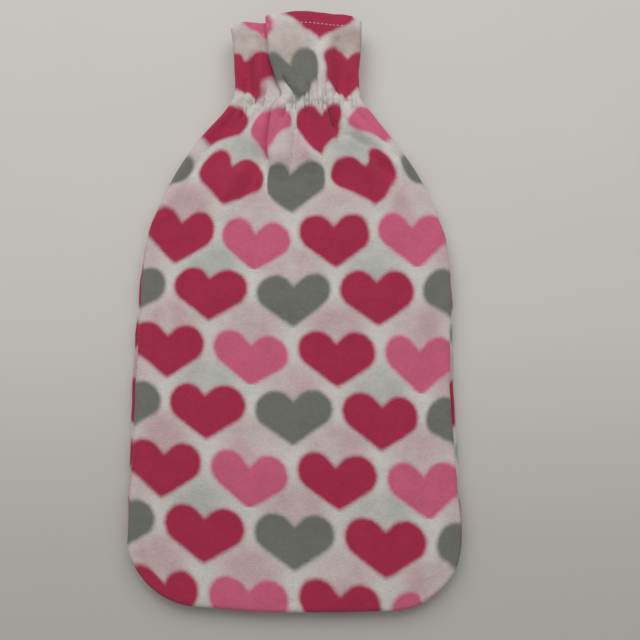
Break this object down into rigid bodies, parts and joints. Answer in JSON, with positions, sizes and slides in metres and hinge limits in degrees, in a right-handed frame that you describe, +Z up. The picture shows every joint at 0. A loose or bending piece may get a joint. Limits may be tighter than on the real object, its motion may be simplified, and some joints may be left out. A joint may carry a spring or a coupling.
{
  "type": "hot water bottle cover",
  "caption": "Empty fleece pouch with rounded shoulders, an elastic-gathered neck and a hemmed frill with one deep pleat, lying on its back.",
  "frame": {"origin": "on the resting plane under the back panel, at the middle of the width and length", "axes": "+Y from the bottom seam towards the frill, +Z up through the front panel, +X to the right with the frill away from you"},
  "size_m": [0.2032, 0.3831, 0.025],
  "materials": {
    "printed_fleece": "soft brushed polar fleece, matt, printed with hearts in crimson, pink and grey on white"
  },
  "bodies": {
    "root": {"front_panel": "printed_fleece", "back_panel": "printed_fleece"}
  },
  "joints": []
}
